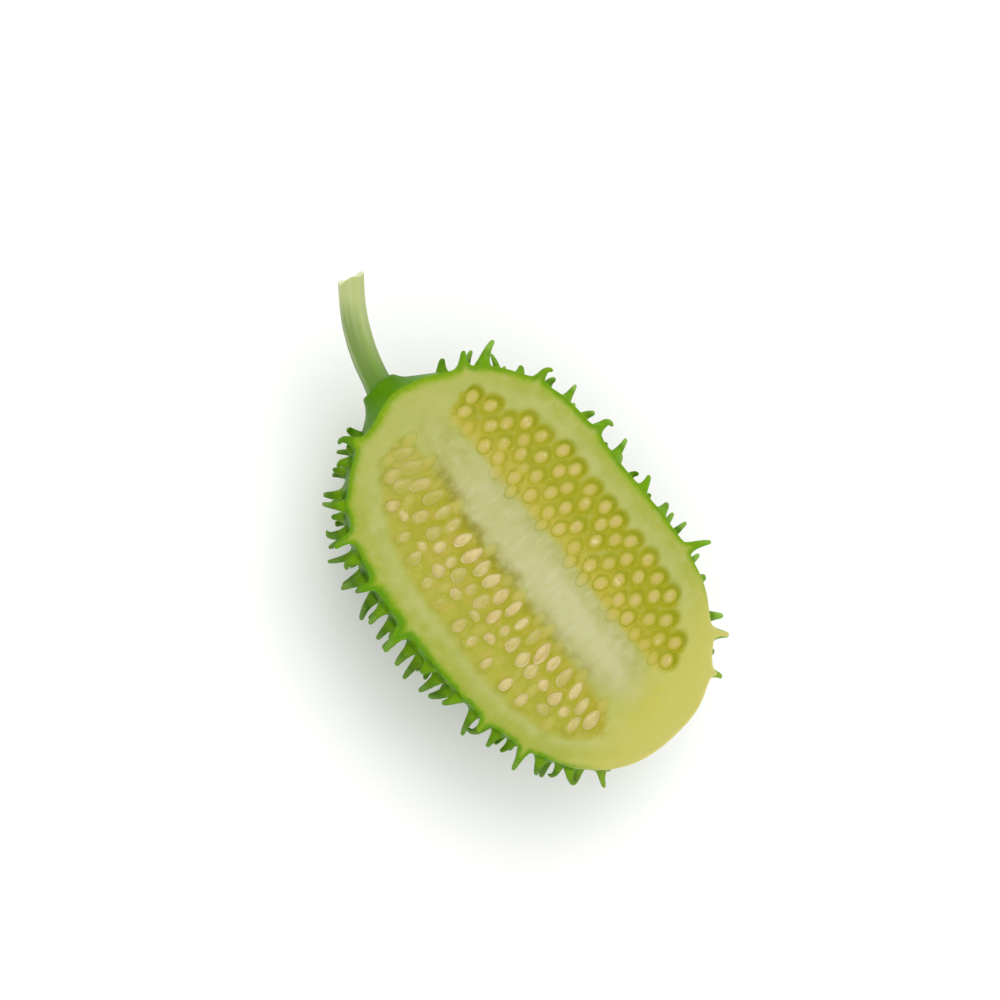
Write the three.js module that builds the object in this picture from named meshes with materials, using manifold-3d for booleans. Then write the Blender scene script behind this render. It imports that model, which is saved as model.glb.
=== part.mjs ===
// West Indian gherkin, halved lengthwise.
//
// One half of the fruit lies on its spiny back with the cut face up. The knife passed just above the
// stalk, so the whole stalk stays on this half. Millimetres: +X runs along the fruit from the stalk
// to the blossom end, +Y across it, and +Z up from the surface that it lies on.

import * as THREE from 'three';
import { mergeVertices } from 'three/addons/utils/BufferGeometryUtils.js';
import Module from 'manifold-3d';

const wasm = await Module();
wasm.setup();

// ---------------------------------------------------------------- driving dimensions

// Body: a superellipse turned about the fruit's long axis
const HALF_LENGTH = 35;
const RADIUS = 22.6;
const FULLNESS = 2.5; // 2 gives an ellipsoid, more gives squarer shoulders
const AXIS_RISE = THREE.MathUtils.degToRad(3.5); // the blossom end lies higher than the stalk end
const MIDDLE = new THREE.Vector3(10.7, -0.15, 24.5); // middle of the long axis
const CUT_HEIGHT = 25.1; // height of the knife's plane
const BODY_STEPS = 22;
const BODY_SIDES = 28;

// The +Y side is fuller towards the stalk end. The push grows with the distance from the middle,
// across and along, from nothing at the first number to the whole of it at the second.
const SHOULDER = { push: 2.1, across: [2, 16], along: [2, 20] };
// The same side is less full towards the blossom end
const BLOSSOM_SIDE = { pull: 1.5, across: [1, 12], along: [19, 28] };

// Neck: the shoulder drawn out round the stalk, a little below the long axis and to one side
const NECK_LENGTH = 4.2;
const NECK_TIP = 3.25;
const NECK_ROOT = 7.5;
const NECK_FLARE = 1.8; // 1 is a plain cone, more keeps it slim for longer
const NECK_INSIDE = 3; // how far its root runs on inside the body
const NECK_STEPS = 6;
const NECK_SIDES = 16;
const NECK_OFFSET = { across: 1.5, down: 2.5 };

// Spines
const SKIN_PER_SPINE = 19; // mm2
const SPINE_LENGTH = [2.2, 4.8];
const SPINE_WIDTH = [1.05, 1.35]; // radius at the foot
const SPINE_BEND = [0.05, 0.5]; // sideways throw of the tip, as a share of the length
const SPINE_ROOT = 0.6; // depth of the foot in the body
const SPINE_SIDES = 5;
const SPINE_JITTER = 1.5;
const BARE_NECK = 5.5; // radius about the axis that is free of spines at the stalk end
const BARE_BLOSSOM = 12.5; // the same at the blossom end
const FULL_GROWN = 5; // distance from the bare skin at which spines reach their full size

// Seed bands in the cut face, one each side of the pale core
const GEL_DEPTH = 0.7;
const BAND_HALF_LENGTH = 28.5;
const BAND_BLUNTNESS = 3.4; // 2 rounds the ends like an ellipse, more squares them
const BARE_BAND = { side: -1, shift: -2.1, centre: 10.9, width: 6.3, curve: 7.8, slope: 0.07 };
const COVERED_BAND = { side: 1, shift: -1.4, centre: 11.8, width: 6, curve: 6.8, slope: -0.044 };

// Bare seeds, in rows from the core outwards: how many, distance from the band's inner edge or, if
// negative, from its outer edge, half the row's length, size, and how far each strays
const BARE_ROWS = [
  { count: 20, inside: 2.3, reach: 27.4, length: 3.9, width: 1.85, along: 0.5, across: 0.8 },
  { count: 19, inside: 5.6, reach: 26, length: 2.8, width: 1.9, along: 0.8, across: 0.6 },
  { count: 9, inside: 8, reach: 21, length: 1.7, width: 2.2, along: 2.4, across: 0.5 },
  { count: 11, inside: -1.75, reach: 22.5, length: 2.5, width: 1.7, along: 1.2, across: 0.4 },
];
const BARE_LEAN = [-14, 6]; // of the seeds at the stalk end and at the blossom end, degrees
const LEAN_STRAY = 16; // degrees
const SEED_SPACE = 1.06; // least distance between seeds, as a share of their mean size
const SEED_EDGE = 0.4; // the same between a seed's middle and the band's edge
const SEED_THICKNESS = 1.35;
const SEED_BELOW_CUT = 0.1;
const SEED_POCKET_GAP = 0.3;
const SEED_POINT = 0.22; // narrower towards the core by this share, broader outwards

// Seeds under the gel of the other band, which show as mounds
const COVERED_ROWS = 4;
const COVERED_ROW_PITCH = 2.7;
const COVERED_SEED_PITCH = 3.7;
const COVERED_STRAY = 1.1; // along and across the band
const MOUND = new THREE.Vector3(0.9, 1.2, 0.6);

// Stalk
const STEM_RADIUS = 2.2;
const STEM_RIDGES = 5;
const STEM_RIDGE = 0.12;
const STEM_LENGTH = 21;
const STEM_STEPS = 12;
const STEM_SOCKET_DEPTH = 1.8;
const STEM_GAP = 0.3;
const STEM_ACROSS = [12, 38]; // heading away from the long axis at its foot and at its end, degrees
const STEM_UP = [-3, 20];
const STEM_CUT_SLANT = THREE.MathUtils.degToRad(28);
const STEM_CUT_AT = 0.94; // share of the length at which the slanting cut crosses the middle

const GOLDEN_ANGLE = Math.PI * (3 - Math.sqrt(5));

// ---------------------------------------------------------------- helpers

const { lerp, smoothstep } = THREE.MathUtils;

// A repeatable number from 0 to 1 for copy `index` of a feature
function scatter(index, feature) {
  const wave = Math.sin(index * 12.9898 + feature * 78.233) * 43758.5453;
  return wave - Math.floor(wave);
}

function solidOf(geometry) {
  const bare = geometry.clone();
  bare.deleteAttribute('normal');
  bare.deleteAttribute('uv');
  const merged = mergeVertices(bare);
  return new wasm.Manifold(new wasm.Mesh({
    numProp: 3,
    vertProperties: new Float32Array(merged.attributes.position.array),
    triVerts: new Uint32Array(merged.index.array),
  }));
}

function geometryOf(solid) {
  const mesh = solid.getMesh();
  const geometry = new THREE.BufferGeometry();
  geometry.setAttribute('position', new THREE.BufferAttribute(mesh.vertProperties, 3));
  geometry.setIndex(new THREE.BufferAttribute(mesh.triVerts, 1));
  geometry.computeVertexNormals();
  return geometry;
}

function editPoints(geometry, edit) {
  const points = geometry.attributes.position;
  const point = new THREE.Vector3();
  for (let i = 0; i < points.count; i++) {
    point.fromBufferAttribute(points, i);
    edit(point);
    points.setXYZ(i, point.x, point.y, point.z);
  }
  return geometry;
}

// ---------------------------------------------------------------- body

// Half outline of the body at `turn`, 0 at the stalk end and 1 at the blossom end: x is the distance
// from the long axis and y the place along it.
function outline(turn) {
  const angle = Math.PI * turn;
  const cos = Math.cos(angle);
  const away = turn < 1 ? RADIUS * Math.sin(angle) ** (2 / FULLNESS) : 0;
  const along = -HALF_LENGTH * Math.sign(cos) * Math.abs(cos) ** (2 / FULLNESS);
  return new THREE.Vector2(away, along);
}

// Body axis (+Y of a lathe) to its place in the model
const axisToModel = new THREE.Matrix4()
  .makeTranslation(MIDDLE)
  .multiply(new THREE.Matrix4().makeRotationY(-AXIS_RISE))
  .multiply(new THREE.Matrix4().makeRotationZ(-Math.PI / 2));

function fillShoulder(point) {
  const across = smoothstep(point.y - MIDDLE.y, ...SHOULDER.across);
  const along = smoothstep(MIDDLE.x - point.x, ...SHOULDER.along);
  point.y += SHOULDER.push * across * along;
}

function thinBlossomSide(point) {
  const across = smoothstep(point.y - MIDDLE.y, ...BLOSSOM_SIDE.across);
  const along = smoothstep(point.x - MIDDLE.x, ...BLOSSOM_SIDE.along);
  point.y -= BLOSSOM_SIDE.pull * across * along;
}

// The two reach different halves of the fruit, so their order makes no difference
function shapeSides(point) {
  fillShoulder(point);
  thinBlossomSide(point);
}

function bodySolid() {
  const profile = Array.from({ length: BODY_STEPS + 1 }, (_, i) => outline(i / BODY_STEPS));
  const body = new THREE.LatheGeometry(profile, BODY_SIDES).applyMatrix4(axisToModel);
  return solidOf(editPoints(body, shapeSides));
}

const neckToModel = axisToModel.clone().multiply(
  new THREE.Matrix4().makeTranslation(-NECK_OFFSET.across, 0, -NECK_OFFSET.down),
);

const neckEnd = -HALF_LENGTH - NECK_LENGTH;

function neckSolid() {
  const profile = [new THREE.Vector2(0, neckEnd)];
  for (let i = 0; i <= NECK_STEPS; i++) {
    const share = i / NECK_STEPS;
    const away = lerp(NECK_TIP, NECK_ROOT, share ** NECK_FLARE);
    profile.push(new THREE.Vector2(away, lerp(neckEnd, -HALF_LENGTH, share)));
  }
  profile.push(new THREE.Vector2(NECK_ROOT, -HALF_LENGTH + NECK_INSIDE));
  profile.push(new THREE.Vector2(0, -HALF_LENGTH + NECK_INSIDE));
  return solidOf(new THREE.LatheGeometry(profile, NECK_SIDES).applyMatrix4(neckToModel));
}

// ---------------------------------------------------------------- spines

// Feet of the spines: a golden-angle spiral with the same area of skin to each, shifted a little
function spineFeet() {
  const walkSteps = 4000;
  const feet = [];
  let skin = 0;
  for (let step = 1; step <= walkSteps; step++) {
    const before = outline((step - 1) / walkSteps);
    const here = outline(step / walkSteps);
    skin += Math.PI * (before.x + here.x) * before.distanceTo(here);
    if (skin > (feet.length + 0.5) * SKIN_PER_SPINE) {
      feet.push({ turn: step / walkSteps, round: feet.length * GOLDEN_ANGLE });
    }
  }
  return feet;
}

function spineSolid({ turn, round }, index) {
  const shift = (feature) => (scatter(index, feature) - 0.5) * SPINE_JITTER;
  const probe = 0.004;
  const walk = outline(turn + probe).sub(outline(turn - probe)).normalize();
  const foot = outline(turn).addScaledVector(walk, shift(1));
  const bare = turn < 0.5 ? BARE_NECK : BARE_BLOSSOM;
  if (foot.x < bare) {
    return null;
  }

  // outward from the skin is (walk.y, -walk.x) in the outline's plane, turned round the body
  const around = round + shift(2) / foot.x;
  const turned = (away, along) => (
    new THREE.Vector3(Math.sin(around) * away, along, Math.cos(around) * away)
  );
  const outward = turned(walk.y, -walk.x);
  const forward = turned(walk.x, walk.y);
  const stand = new THREE.Matrix4()
    .makeBasis(forward, outward, new THREE.Vector3().crossVectors(forward, outward))
    .setPosition(turned(foot.x, foot.y))
    .premultiply(axisToModel);
  if (new THREE.Vector3().setFromMatrixPosition(stand).z > CUT_HEIGHT) {
    return null;
  }

  const growth = smoothstep(foot.x, bare, bare + FULL_GROWN);
  const length = lerp(...SPINE_LENGTH, scatter(index, 3)) * lerp(0.85, 1, growth);
  const width = lerp(...SPINE_WIDTH, scatter(index, 4)) * lerp(0.85, 1, growth);
  const bend = lerp(...SPINE_BEND, scatter(index, 5)) * length;
  const spine = new THREE.ConeGeometry(width, length + SPINE_ROOT, SPINE_SIDES);
  spine.translate(0, (length + SPINE_ROOT) / 2 - SPINE_ROOT, 0);
  editPoints(spine, (point) => {
    point.x += bend * Math.max(point.y / length, 0);
  });
  spine.rotateY(2 * Math.PI * scatter(index, 6));
  return solidOf(editPoints(spine.applyMatrix4(stand), shapeSides));
}

// ---------------------------------------------------------------- cut face

// Middle line and half width of a seed band, at x from the middle of the band
function bandAt(band, x) {
  const fromMiddle = x + band.shift;
  const bow = band.curve * Math.abs(fromMiddle / HALF_LENGTH) ** 3;
  const taper = Math.sqrt(Math.max(1 - Math.abs(x / BAND_HALF_LENGTH) ** BAND_BLUNTNESS, 0));
  const y = band.side * (band.centre - bow + band.slope * fromMiddle);
  return { y, half: band.width * taper };
}

function bandPoint(band, x, across) {
  const { y, half } = bandAt(band, x);
  return new THREE.Vector2(x + band.shift, y + band.side * across * half);
}

function gelRecess(band) {
  const edgeSteps = 18;
  const outer = [];
  const inner = [];
  for (let i = 0; i <= edgeSteps; i++) {
    const x = -BAND_HALF_LENGTH * Math.cos((Math.PI * i) / edgeSteps);
    outer.push(bandPoint(band, x, 1));
    inner.unshift(bandPoint(band, x, -1));
  }
  const edge = new THREE.Shape([...outer, ...inner.slice(1, -1)]);
  const recess = new THREE.ExtrudeGeometry(edge, { depth: 2 * GEL_DEPTH, bevelEnabled: false });
  recess.translate(MIDDLE.x, MIDDLE.y, CUT_HEIGHT - GEL_DEPTH);
  return solidOf(recess);
}

// A seed: a flattened egg, its pointed end towards the core
function seedGeometry(seed, grow = 0) {
  const geometry = new THREE.SphereGeometry(1, 7, 4);
  geometry.rotateX(Math.PI / 2);
  editPoints(geometry, (point) => {
    const pointed = 1 - SEED_POINT * point.y;
    point.x *= pointed * (seed.width / 2 + grow);
    point.y *= seed.length / 2 + grow;
    point.z *= SEED_THICKNESS / 2 + grow;
  });
  geometry.rotateZ(THREE.MathUtils.degToRad(seed.lean));
  return geometry;
}

// Whether two seeds, taken as upright ovals, keep their distance
function apart(one, other) {
  const across = (2 * (one.at.x - other.at.x)) / (one.width + other.width);
  const along = (2 * (one.at.y - other.at.y)) / (one.length + other.length);
  return Math.hypot(across, along) > SEED_SPACE;
}

function bareSeeds() {
  const seeds = [];
  let index = 0;
  for (const row of BARE_ROWS) {
    const pitch = (2 * row.reach) / row.count;
    for (let i = 0; i < row.count; i++) {
      index += 1;
      const stray = (feature) => scatter(index, feature) - 0.5;
      const x = -row.reach + pitch * (i + 0.5) + row.along * stray(11);
      const { y, half } = bandAt(BARE_BAND, x);
      const fromMiddle = row.inside - half * Math.sign(row.inside) + row.across * stray(12);
      const seed = {
        at: new THREE.Vector3(
          MIDDLE.x + BARE_BAND.shift + x,
          MIDDLE.y + y + BARE_BAND.side * fromMiddle,
          CUT_HEIGHT - SEED_BELOW_CUT - SEED_THICKNESS / 2,
        ),
        length: row.length * lerp(0.84, 1.1, scatter(index, 13)),
        width: row.width * lerp(0.88, 1.06, scatter(index, 14)),
        lean: lerp(...BARE_LEAN, (x / BAND_HALF_LENGTH + 1) / 2) + LEAN_STRAY * stray(15),
      };
      const room = half - Math.abs(fromMiddle) > SEED_EDGE * seed.length;
      if (room && seeds.every((other) => apart(seed, other))) {
        seeds.push(seed);
      }
    }
  }
  return seeds;
}

function coveredMounds() {
  const mounds = [];
  const perRow = Math.floor((2 * BAND_HALF_LENGTH) / COVERED_SEED_PITCH);
  for (let row = 0; row < COVERED_ROWS; row++) {
    for (let i = 0; i < perRow; i++) {
      const index = row * perRow + i;
      const stray = (feature) => COVERED_STRAY * (scatter(index, feature) - 0.5);
      const stagger = row % 2 ? 0.25 : -0.25;
      const x = COVERED_SEED_PITCH * (i - (perRow - 1) / 2 + stagger) + stray(21);
      const fromMiddle = COVERED_ROW_PITCH * (row - (COVERED_ROWS - 1) / 2) + stray(22);
      const middle = bandAt(COVERED_BAND, x);
      if (Math.abs(fromMiddle) + MOUND.x > middle.half) {
        continue;
      }
      const mound = new THREE.SphereGeometry(1, 6, 4);
      mound.rotateX(Math.PI / 2);
      mound.scale(MOUND.x, MOUND.y, MOUND.z);
      mound.rotateZ(THREE.MathUtils.degToRad(2 * LEAN_STRAY * (scatter(index, 23) - 0.5)));
      mound.translate(
        MIDDLE.x + COVERED_BAND.shift + x,
        MIDDLE.y + middle.y + fromMiddle,
        CUT_HEIGHT - GEL_DEPTH,
      );
      mounds.push(solidOf(mound));
    }
  }
  return mounds;
}

// ---------------------------------------------------------------- stalk

// Where the stalk stands in its socket, along the neck
const stemRoot = neckEnd + STEM_SOCKET_DEPTH - STEM_GAP;

// The stalk bends across and up as it leaves the fruit
function stemCurve() {
  const points = [];
  const strides = 7;
  const stride = STEM_LENGTH / strides;
  const at = new THREE.Vector3(0, stemRoot, 0).applyMatrix4(neckToModel);
  points.push(at.clone());
  for (let i = 0; i < strides; i++) {
    const share = i / (strides - 1);
    const across = THREE.MathUtils.degToRad(lerp(...STEM_ACROSS, share));
    const up = THREE.MathUtils.degToRad(lerp(...STEM_UP, share));
    const heading = new THREE.Vector3(
      -Math.cos(across) * Math.cos(up),
      Math.sin(across) * Math.cos(up),
      Math.sin(up),
    );
    at.addScaledVector(heading, stride);
    points.push(at.clone());
  }
  return new THREE.CatmullRomCurve3(points);
}

function stemSection() {
  const points = [];
  for (let i = 0; i < 2 * STEM_RIDGES; i++) {
    const angle = (Math.PI * i) / STEM_RIDGES;
    const reach = STEM_RADIUS * (1 + (i % 2 ? -STEM_RIDGE : STEM_RIDGE));
    points.push(new THREE.Vector2(reach * Math.cos(angle), reach * Math.sin(angle)));
  }
  return new THREE.Shape(points);
}

function stemSolid(curve) {
  const stem = new THREE.ExtrudeGeometry(stemSection(), { steps: STEM_STEPS, extrudePath: curve });
  const room = 4 * STEM_RADIUS;
  const knife = new THREE.BoxGeometry(room, room, room).translate(0, 0, room / 2);
  knife.rotateX(STEM_CUT_SLANT);
  const tip = curve.getPointAt(STEM_CUT_AT);
  const facing = new THREE.Quaternion().setFromUnitVectors(
    new THREE.Vector3(0, 0, 1),
    curve.getTangentAt(1),
  );
  knife.applyQuaternion(facing).translate(tip.x, tip.y, tip.z);
  return solidOf(stem).subtract(solidOf(knife));
}

function stemSocket() {
  const reach = STEM_RADIUS * (1 + STEM_RIDGE) + STEM_GAP;
  const socket = new THREE.CylinderGeometry(reach, reach, 2 * STEM_SOCKET_DEPTH, NECK_SIDES);
  socket.translate(0, STEM_GAP - STEM_SOCKET_DEPTH, 0);
  socket.rotateZ(THREE.MathUtils.degToRad(-STEM_ACROSS[0]));
  socket.translate(0, stemRoot, 0);
  return solidOf(socket.applyMatrix4(neckToModel));
}

// ---------------------------------------------------------------- assembly

function fruitSolid(seeds) {
  const room = 4 * HALF_LENGTH;
  const kept = new THREE.BoxGeometry(room, room, CUT_HEIGHT).translate(0, 0, CUT_HEIGHT / 2);
  const spines = spineFeet().map(spineSolid).filter(Boolean);
  const pockets = seeds.map((seed) => (
    solidOf(seedGeometry(seed, SEED_POCKET_GAP).translate(...seed.at))
  ));
  return wasm.Manifold.union([bodySolid(), neckSolid(), ...spines])
    .intersect(solidOf(kept))
    .subtract(gelRecess(BARE_BAND))
    .subtract(gelRecess(COVERED_BAND))
    .subtract(wasm.Manifold.union(pockets))
    .add(wasm.Manifold.union(coveredMounds()))
    .subtract(stemSocket());
}

function named(name, geometry, colour, roughness) {
  const material = new THREE.MeshStandardMaterial({ color: colour, roughness, metalness: 0 });
  const mesh = new THREE.Mesh(geometry, material);
  mesh.name = name;
  return mesh;
}

const gherkin = new THREE.Group();
const seeds = bareSeeds();
gherkin.add(named('fruit_half', geometryOf(fruitSolid(seeds)), 0x5f8a34, 0.45));
gherkin.add(named('stem', geometryOf(stemSolid(stemCurve())), 0xa3b884, 0.6));
seeds.forEach((seed, i) => {
  const mesh = named(`seed_${String(i + 1).padStart(2, '0')}`, seedGeometry(seed), 0xd8c98c, 0.35);
  mesh.position.copy(seed.at);
  gherkin.add(mesh);
});

export default gherkin;
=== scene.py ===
from math import cos, copysign, exp, floor, hypot, pi, radians, sin, sqrt

import bmesh
import bpy
from bpy.props import FloatProperty, FloatVectorProperty, PointerProperty
from mathutils import Matrix, Vector, noise
from mathutils.kdtree import KDTree


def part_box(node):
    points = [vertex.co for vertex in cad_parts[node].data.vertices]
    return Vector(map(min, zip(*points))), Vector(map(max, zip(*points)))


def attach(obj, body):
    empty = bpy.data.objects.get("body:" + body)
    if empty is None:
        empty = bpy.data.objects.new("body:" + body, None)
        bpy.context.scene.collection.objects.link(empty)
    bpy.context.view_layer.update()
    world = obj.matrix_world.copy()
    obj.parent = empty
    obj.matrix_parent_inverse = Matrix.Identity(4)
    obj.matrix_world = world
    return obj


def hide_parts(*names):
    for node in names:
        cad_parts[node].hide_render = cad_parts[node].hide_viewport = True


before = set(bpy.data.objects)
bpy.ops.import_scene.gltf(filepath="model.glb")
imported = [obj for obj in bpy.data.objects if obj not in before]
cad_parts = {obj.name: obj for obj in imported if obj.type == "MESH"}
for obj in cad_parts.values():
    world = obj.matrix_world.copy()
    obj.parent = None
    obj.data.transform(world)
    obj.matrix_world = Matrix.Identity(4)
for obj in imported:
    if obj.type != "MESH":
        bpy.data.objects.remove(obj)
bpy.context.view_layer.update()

bl_info = {
    "name": "West Indian Gherkin Half",
    "version": (1, 0, 0),
    "blender": (4, 5, 0),
    "location": "View3D > Sidebar > Gherkin",
    "description": "A halved West Indian gherkin with its spines, stalk and seeds",
    "category": "Object",
}

MM = 0.001

# ---- sizes, most of them shared with the solids

# Body: a superellipse turned about the fruit's long axis
HALF_LENGTH = 35 * MM
RADIUS = 22.6 * MM
FULLNESS = 2.5
AXIS_RISE = radians(3.5)
MIDDLE = Vector((10.7, -0.15, 24.5)) * MM
CUT_HEIGHT = 25.1 * MM

# The +Y side is fuller towards the stalk end, and less full towards the blossom end
SHOULDER = {"push": 2.1 * MM, "across": (2 * MM, 16 * MM), "along": (2 * MM, 20 * MM)}
BLOSSOM_SIDE = {"push": -1.5 * MM, "across": (1 * MM, 12 * MM), "along": (19 * MM, 28 * MM)}

# Neck drawn out round the stalk
NECK_LENGTH = 4.2 * MM
NECK_TIP = 3.25 * MM
NECK_ROOT = 7.5 * MM
NECK_FLARE = 1.8
NECK_ACROSS = 1.5 * MM
NECK_DOWN = 2.5 * MM
NECK_END = -HALF_LENGTH - NECK_LENGTH
NECK_RINGS = (1.1, 2.2, 3.0, 3.35, 3.7, 4.3, 5.0)  # distance from its middle, in millimetres
NECK_SIDES = 14

# Spines
SKIN_PER_SPINE = 19 * MM ** 2
SPINE_LENGTH = (2.2 * MM, 4.8 * MM)
SPINE_WIDTH = (1.05 * MM, 1.35 * MM)
SPINE_BEND = (0.05, 0.5)  # radians, half way up
SPINE_JITTER = 1.5 * MM
BARE_NECK = 5.5 * MM
BARE_BLOSSOM = 12.5 * MM
FULL_GROWN = 5 * MM  # how far from the bare skin a spine has its full size
LEAST_GROWN = 0.85  # share of its size right beside the bare skin
HOOKED = (0.62, 0.8)  # draws from which a spine begins to hook, and hooks fully
HOOK_TURN = 1.5  # radians
GOLDEN_ANGLE = pi * (3 - sqrt(5))

# Rings of a spine: share of its length, and radius as a share of its foot's
SPINE_RINGS = (
    (0.09, 1.02), (0.2, 0.8), (0.38, 0.64), (0.58, 0.53), (0.78, 0.43), (0.92, 0.35), (1, 0.2),
)
RING_GIRTH = 1.06
FOOT_GIRTH = 1.2
FOOT_FLARE = 0.34 * MM  # how far the skin draws up round the foot
FOOT_BEVEL = 1.0 * MM
FOOT_REACH = 0.6 * MM  # how far off its foot a spine still finds a face to grow from
FOOT_CLEARANCE = 2.2 * MM
FOOT_MATCH = 0.05 * MM  # within this of a foot, a point of the skin is that foot
LUMP_SIZE = 5 * MM
LUMP_HEIGHT = 0.12 * MM

# Cut face, in millimetres: heights of its grain, fibres and waves; where the gel starts and
# ends to sink, from its edge inwards; the same for pockets and mounds, from a seed's edge outwards
CUT_GRAIN, CUT_FIBRE, CUT_WAVE = 0.035, 0.02, 0.05
GEL_SLOPE = (-2.8, 2.4)
POCKET_SLOPE = (-0.6, -0.3)
MOUND_SLOPE = (-0.85, 0.4)
POCKET_DEPTH = 0.25 * MM
KNIFE_MARGIN = Vector((3, 3)) * MM
WELD = 0.002 * MM
SLIVER = 0.001 * MM
FEWEST_FACES = 1000  # a cut that leaves fewer has failed

# Seed bands in the cut face
BAND_HALF_LENGTH = 28.5 * MM
BAND_BLUNTNESS = 3.4
BARE_BAND = {
    "side": -1, "shift": -2.1 * MM, "centre": 10.9 * MM, "width": 6.3 * MM, "curve": 7.8 * MM,
    "slope": 0.07,
}
COVERED_BAND = {
    "side": 1, "shift": -1.4 * MM, "centre": 11.8 * MM, "width": 6 * MM, "curve": 6.8 * MM,
    "slope": -0.044,
}

# Rows of bare seeds, in millimetres: distance inside the band's edge by the core, or, below 0,
# inside its outer edge; reach to each side; width and length of a seed; stray along and across
BARE_ROWS = (
    {"count": 20, "inside": 2.3, "reach": 27.4, "size": (1.85, 3.9), "stray": (0.5, 0.8)},
    {"count": 19, "inside": 5.6, "reach": 26, "size": (1.9, 2.8), "stray": (0.8, 0.6)},
    {"count": 9, "inside": 8, "reach": 21, "size": (2.2, 1.7), "stray": (2.4, 0.5)},
    {"count": 11, "inside": -1.75, "reach": 22.5, "size": (1.7, 2.5), "stray": (1.2, 0.4)},
)
BARE_LEAN = (-14, 6)
LEAN_STRAY = 16
SEED_WIDTHS = (0.88, 1.06)
SEED_LENGTHS = (0.84, 1.1)
SEED_SPACE = 1.06
SEED_EDGE = 0.4
SEED_DRAWN = (1.34, 1.42)  # width and length with the film round it, as shares of the solid seed's
SEED_POINT = (0.28, 0.1)  # how much narrower it gets towards its point, plain and squared
SEED_RIM = (0.82, 0.1)  # middle and width of the raised rim, as shares of the radius
SEED_DENTS = 0.1
SEED_TIP = (radians(16), radians(7))
SEED_LIFT = 0.24 * MM

# Seeds under the gel of the other band
COVERED_ROWS = 4
COVERED_ROW_PITCH = 2.7 * MM
COVERED_SEED_PITCH = 3.7 * MM
COVERED_STRAY = 1.1 * MM
MOUND = Vector((0.9, 1.2)) * MM

# Fainter seeds deeper in the gel
FAINT_TRIES = 600
FAINT_SPACE = 2.15 * MM
FAINT_LENGTH = (1.9, 2.5)
FAINT_WIDTH = (1.3, 1.7)
FAINTNESS = (0.45, 0.85)

# Stalk
STEM_RADIUS = 2.2 * MM
STEM_RIDGES = 5
STEM_LENGTH = 21 * MM
STEM_SOCKET_DEPTH = 1.8 * MM
STEM_GAP = 0.3 * MM
STEM_ACROSS = (radians(12), radians(38))
STEM_UP = (radians(-3), radians(20))
STEM_TORN_AT = 0.94
STEM_RINGS = 15
TORN_SLANT = 1.0 * MM
TORN_TEETH = 0.35 * MM
TORN_STEPS = ((0.35 * MM, 0.05 * MM), (0.8 * MM, -0.5 * MM))  # inset and rise of each

# Stage: the camera's angles, how far the cut's middle is off the view's middle, and the lamps
VIEW_TILT = radians(15)
VIEW_TURN = radians(22)
VIEW_ROLL = radians(49.11)
VIEW_SHIFT = (0.0358, 0.071)
SENSOR = 36.0
FLOOR_REACH = 4
ROOM_LIGHT = 0.95
LAMP_SIZE = 0.6
LAMPS = {"key": ((-0.25, 0.35, 0.75), 2.3), "fill": ((0.5, -0.4, 0.5), 0.9)}  # place, power

AXIS = (
    Matrix.Translation(MIDDLE)
    @ Matrix.Rotation(-AXIS_RISE, 4, "Y")
    @ Matrix.Rotation(-pi / 2, 4, "Z")
)
NECK_AXIS = AXIS @ Matrix.Translation((-NECK_ACROSS, 0, -NECK_DOWN))


# ---- helpers

def lerp(low, high, share):
    return low + (high - low) * share


def ease(value, low, high):
    share = min(max((value - low) / (high - low), 0), 1)
    return share * share * (3 - 2 * share)


def scatter(index, feature):
    """A repeatable number from 0 to 1 for copy `index` of a feature."""
    wave = sin(index * 12.9898 + feature * 78.233) * 43758.5453
    return wave - floor(wave)


def paint(red, green, blue):
    """A linear colour from the 0 to 255 steps of a paint chart."""
    steps = (value / 255 for value in (red, green, blue))
    return tuple(v / 12.92 if v <= 0.04045 else ((v + 0.055) / 1.055) ** 2.4 for v in steps)


def size_field(name, description, default):
    return FloatProperty(name=name, description=description, default=default, min=0, unit="LENGTH")


def tint(name, description, *steps):
    return FloatVectorProperty(
        name=name, description=description, default=paint(*steps), min=0, max=1, subtype="COLOR"
    )


def new_object(name, bm, materials):
    mesh = bpy.data.meshes.new(name)
    bm.to_mesh(mesh)
    bm.free()
    for material in materials:
        mesh.materials.append(material)
    piece = bpy.data.objects.new(name, mesh)
    bpy.context.scene.collection.objects.link(piece)
    return piece


def apply_modifiers(piece):
    """Swap a piece's mesh for the one its modifiers make."""
    bpy.context.view_layer.update()
    made = bpy.data.meshes.new_from_object(
        piece.evaluated_get(bpy.context.evaluated_depsgraph_get())
    )
    piece.modifiers.clear()
    piece.data = made


def subdivision(piece, levels):
    modifier = piece.modifiers.new("Subdivision", "SUBSURF")
    modifier.levels = modifier.render_levels = levels


def close(bm):
    """Point the faces of a finished shape outwards and shade them smooth."""
    bmesh.ops.recalc_face_normals(bm, faces=bm.faces[:])
    for face in bm.faces:
        face.smooth = True


def tree_of(points):
    """A tree that finds the nearest of some points by their number."""
    tree = KDTree(len(points))
    for index, point in enumerate(points):
        tree.insert(point, index)
    tree.balance()
    return tree


def store(mesh, name, values):
    """Keep one number a vertex for the materials to read."""
    attribute = mesh.attributes.new(name, "FLOAT", "POINT")
    attribute.data.foreach_set("value", values)


def dress(piece, slot, *nodes):
    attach(piece, "root")
    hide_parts(*nodes)


# ---- shader maths

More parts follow.
